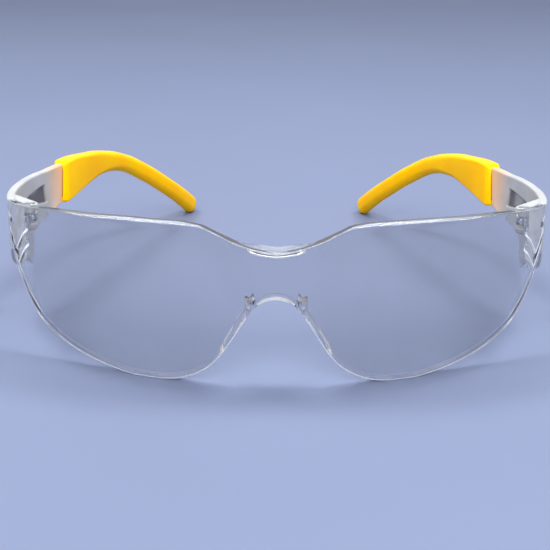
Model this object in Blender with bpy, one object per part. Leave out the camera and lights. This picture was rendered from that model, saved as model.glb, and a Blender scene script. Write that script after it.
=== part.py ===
"""Wrap-around safety glasses: a one-piece clear lens and two folding temples.

Frame: metres, +Z up.  The glasses stand open on a flat surface at z = 0, on the two lower
lobes of the lens and on the two temple tips.  The lens faces -Y, the temples run to +Y,
and +X is the wearer's left.  The origin is the middle of the footprint.

Shapes are worked out in millimetres, with y counted back from the front of the bridge;
`place` turns them into the frame.  The lens is a vertical elliptic wall, so a point on it
is given by its distance round the wall from the middle, its height and its depth below
the outer surface.
"""

import math

import bmesh
import bpy

MM = 0.001

# ---- driving dimensions, in millimetres ------------------------------------------------
CENTRE_Y = 78.3  # middle of the overall depth
HALF_WIDTH = 72.5  # centre to the outside of the lens's corner
WRAP_DEPTH = 45.0  # front of the wall to its widest line
LENS_HEIGHT = 42.3
LENS_LEAN = 5.0  # how far back the lens's foot stands behind its top
LENS_BULGE = 2.2  # how far the lens bows forward between top and foot
LENS_THICK = 2.2
LENS_END = 84.0  # distance round the wall at which the lens stops
CORNER_TUCK = 1.35  # the wall pulls in from its ellipse as it comes to its end
CORNER_START = 66.0
RIM_DEPTH = 2.8  # thickness of the lens's top edge
BROW_DEPTH = 5.0  # the same at the bridge, where it forms a ledge
BROW_REACH = (15.0, 22.0)  # where the ledge begins to fade and where it has gone
RIM_REACH = (64.0, 74.0)  # the same for the thickened rim
LEDGE_HEIGHT = 0.9
LEDGE_FILLET = 0.5
EDGE_BREAK = 0.35
CREASE_RISE = 0.45  # how far the bridge stands proud of the eye panels
CREASE_SOFTNESS = 0.9

NOSE_PAD_SPAN = (5.0, 13.9)  # stretch of the nose cut that carries a pad
NOSE_PAD_DEPTH = (9.5, 4.5)  # at the pad's upper and lower ends
NOSE_PAD_THICK = 1.3
NOSE_PAD_SPLAY = 0.03  # the pad turns away from the nose as it runs back
NOSE_PAD_INSET = 0.12

HINGE_X, HINGE_Y = 63.6, 34.8
KNUCKLE_R = 2.2
LUG_Z = (32.7, 34.7)  # the lens's knuckle
EAR_Z = ((30.6, 32.4), (35.0, 37.3))  # the temple's knuckles, below and above it
LUG_FOOT = ((66.8, 31.0), (68.2, 35.2))  # where the knuckles' webs meet the lens
EAR_FOOT = ((69.4, 41.0), (70.3, 44.2))  # and the arm, in plan
SCREW_R = 0.65
BORE_R = 0.95
SCREW_HEAD_R, SCREW_HEAD_H = 1.15, 0.8
SEAT_R, SEAT_DEPTH = 1.45, 1.2
SCREW_FOOT = 0.4  # the screw's end stands this far inside the lower knuckle
SLOT_WIDTH, SLOT_DEPTH = 0.5, 0.4

ARM_THICK = 2.3
ARM_START = 37.5
LOBE_BACK = (54.5, 60.0)  # where the front lobe steps up to the arm's lower edge
SHOULDER = 76.5  # where the arm steps down to the tongue inside its grip
TONGUE_THICK, TONGUE_INSET, TONGUE_END = 1.7, 1.4, 138.0
GRIP_THICK = 4.8
GRIP_STAND = 0.5  # how far the grip stands above and below the arm
GRIP_START = 76.8
GRIP_END = 156.2
FIT_GAP = 0.3

# Half of the lens's outline: (distance round the wall, height).
LENS_FOOT = (
    (0.0, 24.6), (2.4, 24.1), (4.4, 22.8), (6.0, 20.8), (8.0, 17.7), (10.8, 13.0),
    (13.8, 8.4), (17.0, 5.0), (21.0, 2.4), (26.0, 0.6), (31.0, 0.0), (37.0, 0.0),
    (43.0, 0.9), (50.5, 2.6), (57.0, 4.7), (63.0, 7.4), (68.0, 10.6), (72.0, 14.8),
    (75.5, 19.2), (79.5, 22.3), (84.5, 24.0),
)
LENS_TOP = (
    (0.0, 36.1), (4.0, 36.6), (9.0, 38.1), (13.8, 40.1), (18.5, 41.9), (24.0, 42.3),
    (33.0, 42.3), (44.0, 41.9), (55.0, 41.4), (66.0, 40.4), (75.0, 39.2), (84.5, 37.7),
)
# The fold between the bridge and an eye panel: (height, distance round the wall).
CREASE = ((22.0, 6.2), (27.0, 7.6), (31.0, 8.3), (35.0, 9.6), (38.5, 11.8), (42.3, 15.5))

# A temple's middle line in plan: (y, x).
TEMPLE_LINE = (
    (30.0, 66.6), (37.5, 69.0), (44.5, 70.7), (50.5, 71.2), (57.0, 70.8), (63.0, 69.7),
    (69.0, 67.7), (76.0, 65.2), (90.0, 61.4), (100.0, 58.4), (110.0, 54.9), (120.0, 50.5),
    (130.0, 44.6), (140.0, 39.0), (151.0, 34.2), (159.0, 31.4),
)
# Side view of the clear arm: (y, height).
ARM_TOP = ((37.0, 37.6), (50.0, 37.4), (65.0, 37.3), (77.0, 36.9))
ARM_FOOT = (
    (37.0, 23.8), (40.5, 21.2), (43.5, 18.4), (47.5, 15.8), (51.5, 14.0), (54.9, 13.5),
    (56.8, 14.4), (57.6, 16.5), (58.1, 20.0), (60.0, 22.2), (65.0, 23.4), (71.5, 24.8),
    (77.0, 26.2),
)
# Side view of the covered stretch: (y, middle height) and (y, height across the arm).
TAIL_LINE = (
    (70.0, 31.4), (76.5, 31.6), (88.0, 32.1), (98.0, 32.0), (108.0, 30.7), (118.0, 27.6),
    (128.0, 21.6), (138.0, 14.4), (148.0, 7.4), (159.0, -0.6),
)
TAIL_WIDTH = (
    (70.0, 10.6), (76.5, 10.6), (88.0, 9.2), (98.0, 7.2), (108.0, 5.7), (118.0, 4.9),
    (138.0, 5.0), (158.0, 5.6),
)
# Side view of the shallow pocket in the arm's inner face: (y, height).
POCKET = ((56.0, 32.3), (60.6, 29.0), (68.0, 28.0), (67.4, 33.6))
POCKET_DEPTH = 0.7

# Stepped V ridges that wrap the lens's corner.
CHEVRON_CENTRE, CHEVRON_HALF = 72.4, 6.4
CHEVRON_TIPS = (27.7, 23.8)
CHEVRON_RAMP, CHEVRON_RISE, CHEVRON_ROOT = 3.2, 0.35, 0.9

# ---- mesh fineness -----------------------------------------------------------------------
LENS_COLUMN, NOSE_COLUMN = 2.4, 0.9  # column widths on the panels and round the nose
NOSE_HALF = 18.0
LENS_ROWS = 11
ROUND_SEGMENTS = 28
CORNER_STEPS = 3
ELLIPSE_STEPS = 720

COLOURS = {
    "lens": ((0.80, 0.86, 0.92), 0.03, 0.0),
    "arm": ((0.76, 0.79, 0.80), 0.35, 0.0),
    "grip": ((1.0, 0.50, 0.01), 0.35, 0.0),
    "screw": ((0.62, 0.62, 0.62), 0.25, 1.0),
}


# ---- curves ----------------------------------------------------------------------------
def smooth(points, at):
    """Read a smooth curve through the points, which never overshoots between two of them."""
    last = len(points) - 1
    at = min(max(at, points[0][0]), points[last][0])
    k = max(i for i in range(last) if points[i][0] <= at)

    def rise(i):
        return (points[i + 1][1] - points[i][1]) / (points[i + 1][0] - points[i][0])

    def slope(i):
        if i == 0:
            return 0.0
        if i == last:
            return rise(last - 1)
        left, right = rise(i - 1), rise(i)
        return 0.0 if left * right <= 0 else 2 * left * right / (left + right)

    width = points[k + 1][0] - points[k][0]
    t = (at - points[k][0]) / width
    return (
        points[k][1] * (1 + 2 * t) * (1 - t) ** 2
        + slope(k) * width * t * (1 - t) ** 2
        + points[k + 1][1] * t * t * (3 - 2 * t)
        + slope(k + 1) * width * t * t * (t - 1)
    )


def fade(value, start, end):
    """Go smoothly from 0 at start to 1 at end."""
    t = min(max((value - start) / (end - start), 0.0), 1.0)
    return t * t * (3 - 2 * t)


def steps(start, end, count):
    return [start + (end - start) * i / count for i in range(count + 1)]


def ellipse_distances():
    """Distance round the wall at equal steps of the ellipse's angle, up to its widest line."""
    turn = math.pi / 2 / ELLIPSE_STEPS
    distances = [0.0]
    for i in range(ELLIPSE_STEPS):
        angle = (i + 0.5) * turn
        pace = math.hypot(HALF_WIDTH * math.cos(angle), WRAP_DEPTH * math.sin(angle))
        distances.append(distances[-1] + pace * turn)
    return distances


DISTANCES = ellipse_distances()


def wall_angle(distance):
    """The ellipse's angle at a distance round the wall from the middle."""
    far = abs(distance)
    k = next(i for i in range(ELLIPSE_STEPS) if DISTANCES[i + 1] >= far)
    part = (far - DISTANCES[k]) / (DISTANCES[k + 1] - DISTANCES[k])
    return math.copysign((k + part) * math.pi / 2 / ELLIPSE_STEPS, distance)


def wall(distance, height, depth):
    """A point of the lens, in millimetres."""
    angle = wall_angle(distance)
    drop = (LENS_HEIGHT - height) / LENS_HEIGHT
    inward = LENS_LEAN * drop - 4 * LENS_BULGE * drop * (1 - drop) + depth
    inward += CORNER_TUCK * fade(abs(distance), CORNER_START, LENS_END)
    nx, ny = WRAP_DEPTH * math.sin(angle), -HALF_WIDTH * math.cos(angle)
    size = math.hypot(nx, ny)
    x = HALF_WIDTH * math.sin(angle) - inward * nx / size
    y = WRAP_DEPTH * (1 - math.cos(angle)) - inward * ny / size
    return x, y, height


# ---- meshes ----------------------------------------------------------------------------
def place(point, pivot=(0.0, 0.0, 0.0)):
    """Turn millimetres into metres from the pivot, which is a point in metres."""
    x, y, z = point
    return x * MM - pivot[0], (y - CENTRE_Y) * MM - pivot[1], z * MM - pivot[2]


def add_object(name, rings, pivot=(0.0, 0.0, 0.0), material=None):
    """Loft a closed solid through rings of points, and cap its two ends."""
    bm = bmesh.new()
    loops = [[bm.verts.new(place(point, pivot)) for point in ring] for ring in rings]
    count = len(loops[0])
    for near, far in zip(loops, loops[1:]):
        for i in range(count):
            j = (i + 1) % count
            bm.faces.new((near[i], near[j], far[j], far[i]))
    bm.faces.new(loops[0])
    bm.faces.new(loops[-1])
    bmesh.ops.recalc_face_normals(bm, faces=bm.faces)
    mesh = bpy.data.meshes.new(name)
    bm.to_mesh(mesh)
    bm.free()
    mesh.shade_smooth()
    mesh.set_sharp_from_angle(angle=math.radians(32))
    if material:
        mesh.materials.append(material)
    item = bpy.data.objects.new(name, mesh)
    bpy.context.collection.objects.link(item)
    return item


def combine(target, tool, operation):
    """Join a guide solid to the target, or cut it out of it, and hide the guide."""
    modifier = target.modifiers.new(tool.name, "BOOLEAN")
    modifier.operation = operation
    modifier.solver = "EXACT"
    modifier.object = tool
    tool.hide_render = True
    tool.display_type = "WIRE"


def add_material(name):
    colour, roughness, metallic = COLOURS[name]
    material = bpy.data.materials.new(name)
    material.use_nodes = True
    shader = material.node_tree.nodes["Principled BSDF"]
    shader.inputs["Base Color"].default_value = (*colour, 1.0)
    shader.inputs["Roughness"].default_value = roughness
    shader.inputs["Metallic"].default_value = metallic
    return material


def circle(x, y, radius, z):
    turns = [2 * math.pi * i / ROUND_SEGMENTS for i in range(ROUND_SEGMENTS)]
    return [(x + radius * math.cos(a), y + radius * math.sin(a), z) for a in turns]


def bar(name, side, radius, low, high, pivot):
    """A round bar on a hinge's axis."""
    rings = [circle(side * HINGE_X, HINGE_Y, radius, z) for z in (low, high)]
    return add_object(name, rings, pivot)


def knuckle(name, side, foot, low, high, pivot):
    """A knuckle round a hinge's axis, with a web that runs to the two points of its foot."""
    ring = []
    for i in range(ROUND_SEGMENTS):
        angle = 2 * math.pi * i / ROUND_SEGMENTS
        ring.append((HINGE_X + KNUCKLE_R * math.cos(angle), HINGE_Y + KNUCKLE_R * math.sin(angle)))
    outline = hull(ring + list(foot))
    rings = [[(side * x, y, z) for x, y in outline] for z in (low, high)]
    return add_object(name, rings, pivot)


def hull(points):
    """The convex outline round a set of points in plan."""
    ordered = sorted(points)

    def half(sequence):
        kept = []
        for point in sequence:
            while len(kept) > 1 and turn(kept[-2], kept[-1], point) <= 0:
                kept.pop()
            kept.append(point)
        return kept[:-1]

    return half(ordered) + half(ordered[::-1])


def turn(a, b, c):
    """Positive where the way from a over b to c turns left."""
    return (b[0] - a[0]) * (c[1] - a[1]) - (b[1] - a[1]) * (c[0] - a[0])


# ---- lens ------------------------------------------------------------------------------
def lens_columns():
    nose = steps(0.0, NOSE_HALF, round(NOSE_HALF / NOSE_COLUMN))
    panel = steps(NOSE_HALF, LENS_END, round((LENS_END - NOSE_HALF) / LENS_COLUMN))
    half = nose + panel[1:]
    return [-u for u in half[:0:-1]] + half


def front_depth(distance, height):
    """The eye panels lie just below the bridge, which ends at a crease."""
    crease = smooth(CREASE, height)
    return CREASE_RISE * fade(abs(distance), crease - CREASE_SOFTNESS, crease + CREASE_SOFTNESS)


def rim_depth(distance):
    """The top edge's thickness, which falls from the bridge's ledge to the plain wall's."""
    rim = BROW_DEPTH + (RIM_DEPTH - BROW_DEPTH) * fade(abs(distance), *BROW_REACH)
    return rim + (LENS_THICK - RIM_DEPTH) * fade(abs(distance), *RIM_REACH)


def lens_ring(distance):
    """The lens's section at a distance round the wall."""
    top, foot = smooth(LENS_TOP, abs(distance)), smooth(LENS_FOOT, abs(distance))
    ledge = top - LEDGE_HEIGHT - LEDGE_FILLET
    heights = steps(foot + EDGE_BREAK, ledge, LENS_ROWS) + [top - LEDGE_HEIGHT, top - EDGE_BREAK]
    rim = rim_depth(distance)
    front = [(front_depth(distance, z), z) for z in heights]
    back = [(CREASE_RISE + LENS_THICK, z) for z in heights[:-2]]
    back += [(CREASE_RISE + rim, z) for z in heights[-2:]]
    brow = [(front[-1][0] + EDGE_BREAK, top), (CREASE_RISE + rim - EDGE_BREAK, top)]
    sole = [(back[0][0] - EDGE_BREAK, foot), (front[0][0] + EDGE_BREAK, foot)]
    return [wall(distance, z, depth) for depth, z in front + brow + back[::-1] + sole]


def nose_pad_ring(side, part):
    """A nose pad's section; part runs from 0 at its upper end to 1 at its lower end."""
    start, end = NOSE_PAD_SPAN
    u = start + (end - start) * part
    z = smooth(LENS_FOOT, u)
    run, fall = 0.1, smooth(LENS_FOOT, u + 0.1) - z
    size = math.hypot(run, fall)
    across = (-fall / size, run / size)
    reach = NOSE_PAD_DEPTH[0] + (NOSE_PAD_DEPTH[1] - NOSE_PAD_DEPTH[0]) * part
    rounding = math.sqrt(max(1 - abs(2 * part - 1) ** 6, 0.0))
    reach = 3.0 + (reach - 3.0) * rounding
    ring = []
    for depth, inset in ((1.2, 0.0), (reach, 0.0), (reach, NOSE_PAD_THICK), (1.2, NOSE_PAD_THICK)):
        shift = NOSE_PAD_INSET + inset + NOSE_PAD_SPLAY * depth
        ring.append(wall(side * (u + across[0] * shift), z + across[1] * shift, depth))
    return ring


def chevron_ring(side, offset, tip):
    """A ridge's section at a distance from the middle of its V: a ramp that ends in a step."""
    u = side * (CHEVRON_CENTRE + offset)
    low = tip + abs(offset)
    high = low + CHEVRON_RAMP
    skin = CREASE_RISE
    return [
        wall(u, low + 0.2, skin + CHEVRON_ROOT),
        wall(u, low, skin - CHEVRON_RISE),
        wall(u, low + 0.5, skin - CHEVRON_RISE),
        wall(u, high, skin + 0.1),
        wall(u, high, skin + CHEVRON_ROOT),
    ]


def build_lens(material):
    lens = add_object("lens", [lens_ring(u) for u in lens_columns()], material=material)
    world = (0.0, 0.0, 0.0)
    for side, hand in ((1, "left"), (-1, "right")):
        pad = add_object(f"guide_nose_pad_{hand}", [nose_pad_ring(side, t) for t in steps(0, 1, 12)])
        combine(lens, pad, "UNION")
        lug = knuckle(f"guide_lug_{hand}", side, LUG_FOOT, *LUG_Z, world)
        combine(lens, lug, "UNION")
        bore = bar(f"guide_lug_bore_{hand}", side, BORE_R, LUG_Z[0] - 1, LUG_Z[1] + 1, world)
        combine(lens, bore, "DIFFERENCE")
        for number, tip in enumerate(CHEVRON_TIPS, 1):
            offsets = steps(-CHEVRON_HALF, 0, 4) + steps(0, CHEVRON_HALF, 4)[1:]
            rings = [chevron_ring(side, offset, tip) for offset in offsets]
            combine(lens, add_object(f"guide_chevron_{hand}_{number}", rings), "UNION")
    return lens


# ---- temples ---------------------------------------------------------------------------
def frame_at(y, middle):
    """The point of a temple's middle line at y, with its up and sideways directions."""
    step = 0.05
    x0, x1 = smooth(TEMPLE_LINE, y - step), smooth(TEMPLE_LINE, y + step)
    z0, z1 = smooth(middle, y - step), smooth(middle, y + step)
    run = math.hypot(x1 - x0, 2 * step)
    length = math.hypot(run, z1 - z0)
    side = (2 * step / run, -(x1 - x0) / run, 0.0)
    lean = (z1 - z0) / length
    up = (-lean * (x1 - x0) / run, -lean * 2 * step / run, run / length)
    return (smooth(TEMPLE_LINE, y), y, smooth(middle, y)), up, side


def rounded_section(across, thick, corner):
    """A rectangle with rounded corners, as (up, sideways) from its middle."""
    points = []
    for k, (sx, sz) in enumerate(((1, 1), (-1, 1), (-1, -1), (1, -1))):
        for i in range(CORNER_STEPS + 1):
            angle = math.pi / 2 * (k + i / CORNER_STEPS)
            sideways = sx * (thick / 2 - corner) + corner * math.cos(angle)
            upward = sz * (across / 2 - corner) + corner * math.sin(angle)
            points.append((upward, sideways))
    return points


def ring_at(side, y, middle, across, thick, corner):
    (x0, y0, z0), up, sideways = frame_at(y, middle)
    ring = []
    for a, b in rounded_section(across, thick, corner):
        x, y1, z = (p + a * u + b * s for p, u, s in zip((x0, y0, z0), up, sideways))
        ring.append((side * x, y1, z))
    return ring


def arm_ring(side, y):
    """A section of the clear arm's front plate, which is upright."""
    top, foot = smooth(ARM_TOP, y), smooth(ARM_FOOT, y)
    level = ((y - 1, (top + foot) / 2), (y + 1, (top + foot) / 2))
    return ring_at(side, y, level, top - foot, ARM_THICK, 0.5)


def covered_ring(side, y, trim, thick, corner):
    """A section of the covered stretch, trimmed above and below."""
    return ring_at(side, y, TAIL_LINE, smooth(TAIL_WIDTH, y) - 2 * trim, thick, corner)


def tongue_rings(side, gap, end):
    """The tongue, or with a gap the socket round it, from front to back."""
    corner = 0.5 + gap
    return [
        covered_ring(side, y, TONGUE_INSET - gap, TONGUE_THICK + 2 * gap, corner)
        for y in steps(SHOULDER, end, 14)
    ]


def build_temple(side, hand, hinge, pivot, material):
    plate = steps(ARM_START, LOBE_BACK[0], 14) + steps(*LOBE_BACK, 9)[1:]
    plate += steps(LOBE_BACK[1], SHOULDER, 7)[1:]
    rings = [arm_ring(side, y) for y in plate] + tongue_rings(side, 0.0, TONGUE_END)
    temple = add_object(f"temple_{hand}", rings, pivot, material)
    temple.parent = hinge
    guides = []
    for level, (low, high) in zip(("lower", "upper"), EAR_Z):
        foot = EAR_FOOT
        guides.append((knuckle(f"guide_{level}_ear_{hand}", side, foot, low, high, pivot), "UNION"))
    low, high = EAR_Z[0][0] - 1, EAR_Z[1][1] + 1
    guides.append((bar(f"guide_bore_{hand}", side, BORE_R, low, high, pivot), "DIFFERENCE"))
    seat = bar(f"guide_seat_{hand}", side, SEAT_R, EAR_Z[1][1] - SEAT_DEPTH, high, pivot)
    guides.append((seat, "DIFFERENCE"))
    guides.append((pocket(side, hand, pivot), "DIFFERENCE"))
    for guide, operation in guides:
        guide.parent = hinge
        combine(temple, guide, operation)
    return temple


def pocket(side, hand, pivot):
    """The cutter of the triangular pocket in the arm's inner face."""
    rings = []
    for depth in (POCKET_DEPTH - ARM_THICK / 2, -ARM_THICK / 2 - 3):
        rings.append([(side * (smooth(TEMPLE_LINE, y) + depth), y, z) for y, z in POCKET])
    return add_object(f"guide_pocket_{hand}", rings, pivot)


def build_grip(side, hand, hinge, pivot, material):
    socket = tongue_rings(side, FIT_GAP, TONGUE_END + FIT_GAP)[1:]
    mouth = covered_ring(side, GRIP_START, TONGUE_INSET - FIT_GAP, TONGUE_THICK + 2 * FIT_GAP, 0.8)
    outer = [covered_ring(side, GRIP_START, 0.1, GRIP_THICK - 1.2, 0.9)]
    for y in steps(GRIP_START + 0.6, GRIP_END - 3.0, 26):
        outer.append(covered_ring(side, y, -GRIP_STAND, GRIP_THICK, 1.5))
    for part in steps(0.25, 0.92, 4):
        y = GRIP_END - 3.0 + 3.0 * part
        shrink = math.sqrt(1 - part * part)
        trim = (smooth(TAIL_WIDTH, y) / 2 + GRIP_STAND) * (1 - shrink) * 0.75 - GRIP_STAND
        outer.append(covered_ring(side, y, trim, GRIP_THICK * shrink, 1.4 * shrink))
    grip = add_object(f"temple_grip_{hand}", socket[::-1] + [mouth] + outer, pivot, material)
    grip.parent = hinge
    floor = add_object(
        f"guide_floor_{hand}",
        [[(side * x, y, z) for x, y in ((20, 140), (50, 140), (50, 165), (20, 165))] for z in (-5, 0)],
        pivot,
    )
    floor.parent = hinge
    combine(grip, floor, "DIFFERENCE")
    return grip


def build_screw(side, hand, hinge, pivot, material):
    top = EAR_Z[1][1] - SEAT_DEPTH + FIT_GAP + SCREW_HEAD_H
    neck = top - SCREW_HEAD_H
    foot = EAR_Z[0][0] + SCREW_FOOT
    levels = ((foot, SCREW_R - 0.2), (foot + 0.3, SCREW_R), (neck, SCREW_R), (neck, SCREW_HEAD_R))
    levels += ((top - 0.2, SCREW_HEAD_R), (top, SCREW_HEAD_R - 0.2))
    rings = [circle(side * HINGE_X, HINGE_Y, radius, z) for z, radius in levels]
    screw = add_object(f"hinge_screw_{hand}", rings, pivot, material)
    screw.parent = hinge
    x, y, half = side * HINGE_X, HINGE_Y, SLOT_WIDTH / 2
    corners = ((x - 3, y - half), (x + 3, y - half), (x + 3, y + half), (x - 3, y + half))
    rings = [[(cx, cy, z) for cx, cy in corners] for z in (top - SLOT_DEPTH, top + 1)]
    slot = add_object(f"guide_slot_{hand}", rings, pivot)
    slot.parent = hinge
    combine(screw, slot, "DIFFERENCE")
    return screw


def add_hinge(side, hand):
    """An empty on a temple's folding axis, which carries all that folds with it."""
    hinge = bpy.data.objects.new(f"hinge_{hand}", None)
    hinge.location = place((side * HINGE_X, HINGE_Y, LUG_Z[0]))
    bpy.context.collection.objects.link(hinge)
    return hinge


def main():
    for item in list(bpy.data.objects):
        bpy.data.objects.remove(item)
    materials = {name: add_material(name) for name in COLOURS}
    build_lens(materials["lens"])
    for side, hand in ((1, "left"), (-1, "right")):
        hinge = add_hinge(side, hand)
        pivot = tuple(hinge.location)
        build_temple(side, hand, hinge, pivot, materials["arm"])
        build_grip(side, hand, hinge, pivot, materials["grip"])
        build_screw(side, hand, hinge, pivot, materials["screw"])


main()
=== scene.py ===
"""Looks for the wrap-around safety glasses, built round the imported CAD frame.

Shapes are worked out in millimetres, with y counted back from the front of the bridge, as in
the CAD source: `place` turns them into the frame's metres.  The lens is a vertical elliptic
wall, so a point on it is given by its distance round the wall, its height and its depth.
"""

import bisect
import math

import bmesh
import bpy
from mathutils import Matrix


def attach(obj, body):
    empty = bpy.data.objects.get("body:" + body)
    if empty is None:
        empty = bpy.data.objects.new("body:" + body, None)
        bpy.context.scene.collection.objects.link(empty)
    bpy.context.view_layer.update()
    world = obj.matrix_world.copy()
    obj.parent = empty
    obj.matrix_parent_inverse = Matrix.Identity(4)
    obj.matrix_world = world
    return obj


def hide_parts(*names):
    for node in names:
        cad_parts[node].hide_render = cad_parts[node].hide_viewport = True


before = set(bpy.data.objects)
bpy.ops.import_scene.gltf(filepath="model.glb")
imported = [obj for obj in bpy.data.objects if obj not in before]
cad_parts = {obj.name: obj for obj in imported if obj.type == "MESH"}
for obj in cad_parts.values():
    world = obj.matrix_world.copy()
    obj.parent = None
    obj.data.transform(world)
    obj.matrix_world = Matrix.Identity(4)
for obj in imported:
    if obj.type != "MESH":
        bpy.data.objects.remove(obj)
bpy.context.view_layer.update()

MM = 0.001
SIDES = ((1, "left"), (-1, "right"))

# ---- camera and studio -------------------------------------------------------------------
CAMERA_BACK, CAMERA_UP = 291.8, 108.8  # millimetres in front of the frame's origin and above it
CAMERA_PITCH, CAMERA_ROLL, CAMERA_SHIFT = 0.35, 0.0085, -0.0022
FOCAL_LENGTH, SENSOR, CLIP_RANGE = 65.6, 36.0, (0.01, 50.0)
FLOOR_COLOUR, FLOOR_SHADE, FLOOR_HALF = (0.168, 0.196, 0.298), 0.96, 6.0
WORLD_COLOUR, WORLD_STRENGTH = (0.80, 0.88, 1.0), 0.7
AREA_LIGHTS = (  # name, place, the point it faces, size and power, with the lengths in metres
    ("overhead", (0.0, 0.05, 0.8), (0.0, 0.0, 0.0), (0.4, 0.5), 2.0),
    ("side_left", (0.37, 0.065, 0.8), (0.37, 0.065, 0.0), (0.26, 0.2), 3.8),
    ("side_right", (-0.37, 0.065, 0.8), (-0.37, 0.065, 0.0), (0.26, 0.2), 3.8),
    ("front", (0.0, -0.75, 0.6), (0.0, 0.0, 0.02), (0.7, 0.4), 8.0),
    ("behind", (0.0, 1.7, 0.9), (0.0, 0.4, 0.0), (2.6, 1.1), 5.5),
)

# ---- mesh quality --------------------------------------------------------------------------
SHARP, LENS_SHARP, GRIP_SHARP, SCREW_SHARP = 32, 40, 38, 30  # degrees between two faces
CIRCLE_POINTS, KNUCKLE_POINTS, ROUND_STEPS = 48, 64, 5
OVERCUT = 1.0  # how far a cutting tool passes the solid that it cuts
STUB = 3.0  # length of a face that only gives a corner its direction
CORNER_SHARE, SIDE_SHARE = 0.45, 0.49  # the most of a face or a side that one corner takes
SLOPE_STEP = 0.05  # half the distance over which a temple's direction is measured

# ---- lens --------------------------------------------------------------------------------
CENTRE_Y = 78.3  # how far the frame's origin lies behind the front of the bridge
HALF_WIDTH, WRAP_DEPTH = 72.5, 45.0
LENS_HEIGHT, LENS_LEAN, LENS_BULGE, LENS_THICK = 42.3, 5.0, 2.2, 2.2
LENS_END, CORNER_TUCK, CORNER_START = 84.0, 1.35, 66.0
BROW_DEPTH, BROW_REACH = 5.0, (3.2, 8.0)  # the ledge behind the bridge runs out beyond the nose
BEVEL_DEPTH, BEVEL_DROP, BEVEL_CLEAR = 0.85, 0.6, 0.15  # along the front of the top edge
BEVEL_START, BEVEL_END, BEVEL_LEAST = (15.0, 22.0), (46.0, 56.0), 0.25
LEDGE_HEIGHT, LEDGE_FILLET = 0.9, 0.5
CREASE_RISE, CREASE_SOFTNESS = 0.45, 0.9
EDGE_ROUND, BEVEL_ROUND, TOP_ROUND, LEDGE_ROUND, ROOT_ROUND = 0.5, 0.12, 0.35, 0.4, 0.6
TOP_CLEAR, ROOT_CLEAR = 0.4, 0.7  # where a flat face's points stop before its next corner
PAD_SPAN, PAD_DEPTH, PAD_THICK, PAD_SPLAY = (5.0, 13.9), (9.5, 4.5), 1.3, 0.03
PAD_IN, PAD_OUT = (-0.3, 0.9), (-1.0, 0.3)  # how the pads rise and fall at the ends of their span
FOOT_THICK, FOOT_SLACK = 1.2, 0.4  # where a pad's points lie on the wall beyond the pad

LENS_FOOT = (
    (0.0, 24.6), (2.4, 24.1), (4.4, 22.8), (6.0, 20.8), (8.0, 17.7), (10.8, 13.0),
    (13.8, 8.4), (17.0, 5.0), (21.0, 2.4), (26.0, 0.6), (31.0, 0.0), (37.0, 0.0),
    (43.0, 0.9), (50.5, 2.6), (57.0, 4.7), (63.0, 7.4), (68.0, 10.6), (72.0, 14.8),
    (75.5, 19.2), (79.5, 22.3), (84.5, 24.0),
)
LENS_TOP = (
    (0.0, 36.1), (4.0, 36.6), (9.0, 38.1), (13.8, 40.1), (18.5, 41.9), (24.0, 42.3),
    (33.0, 42.3), (44.0, 41.9), (55.0, 41.4), (66.0, 40.4), (75.0, 39.2), (84.5, 37.7),
)
CREASE = ((22.0, 6.2), (27.0, 7.6), (31.0, 8.3), (35.0, 9.6), (38.5, 11.8), (42.3, 15.5))

CHEVRON_CENTRE, CHEVRON_HALF = 72.4, 6.4
CHEVRON_TIPS = (23.8, 27.7)
CHEVRON_LIP, CHEVRON_FLAT, CHEVRON_RAMP, CHEVRON_RISE = 0.14, 0.5, 3.2, 0.5
FRONT_SPLIT = (22, 1, 2, 6, 2, 1, 2, 6, 4)  # rows between the front's anchor heights
FRONT_TURN, ROW_LEAST = (46.0, 60.0), 0.03  # where the rows turn to follow the V ridges
RIDGE_RUNOUT = 1.5
RIM_ROWS, BACK_ROWS, FOOT_ROWS = 4, 40, 6  # rows on the flat faces round the rest of a section
BEND_STEPS = 3
FROST_START = 68.5  # the inner face is frosted beyond this, above the lower V
ARCH_END, MATT_START, MATT_FULL, MATT_END = 4.6, 7.0, 9.5, 50.0  # where the lower edge is matt
MATT_RIDGE, RIDGE_START = 0.65, 66.0  # the matt foot of each V: its height and where it starts
CLEAR_SLOT, SOLE_SLOT, FROST_SLOT, BEVEL_SLOT = 0, 1, 2, 3  # the lens's material slots
WALL_SPLIT = (  # the lens's sections on each side: from, to and how many
    (0.0, 18.0, 72), (18.0, 62.0, 56), (62.0, CHEVRON_CENTRE, 32),
    (CHEVRON_CENTRE, LENS_END - EDGE_ROUND, 34),
)

# ---- hinge, temples and grips --------------------------------------------------------------
HINGE_X, HINGE_Y, KNUCKLE_R = 63.6, 34.8, 2.2
LUG_Z, EAR_Z = (32.7, 34.7), ((30.6, 32.4), (35.0, 37.3))
LUG_FOOT = ((66.8, 31.0), (68.2, 35.2))
EAR_FOOT = ((69.4, 41.0), (70.3, 44.2))
SCREW_R, BORE_R = 0.65, 0.95
SCREW_HEAD_R, SCREW_HEAD_H = 1.15, 0.8
SEAT_R, SEAT_DEPTH = 1.45, 1.2
SCREW_FOOT, SCREW_TAPER, SCREW_TIP = 0.4, 0.2, 0.3
HEAD_ROUND, HEAD_TURN = 0.25, 1.57  # the head's edge turns through nearly a right angle
SLOT_WIDTH, SLOT_DEPTH, SLOT_REACH = 0.5, 0.4, 3.0
KNUCKLE_EDGE = 0.3
ARM_THICK, ARM_START, LOBE_BACK, SHOULDER = 2.3, 37.5, (54.5, 60.0), 76.5
ARM_ROUND, ARM_VOXEL, ARM_RELAX = 0.5, 0.18, 3
NOSE_TURNS = (0.25, math.pi / 2, 6)  # the arm's rounded front: from, to and how many steps
ARM_SPLIT, TONGUE_SPLIT = (40, 24, 27), 40
TONGUE_THICK, TONGUE_INSET, TONGUE_END = 1.7, 1.4, 138.0
GRIP_THICK, GRIP_STAND, GRIP_START, GRIP_END = 4.8, 0.5, 76.8, 156.2
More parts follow.
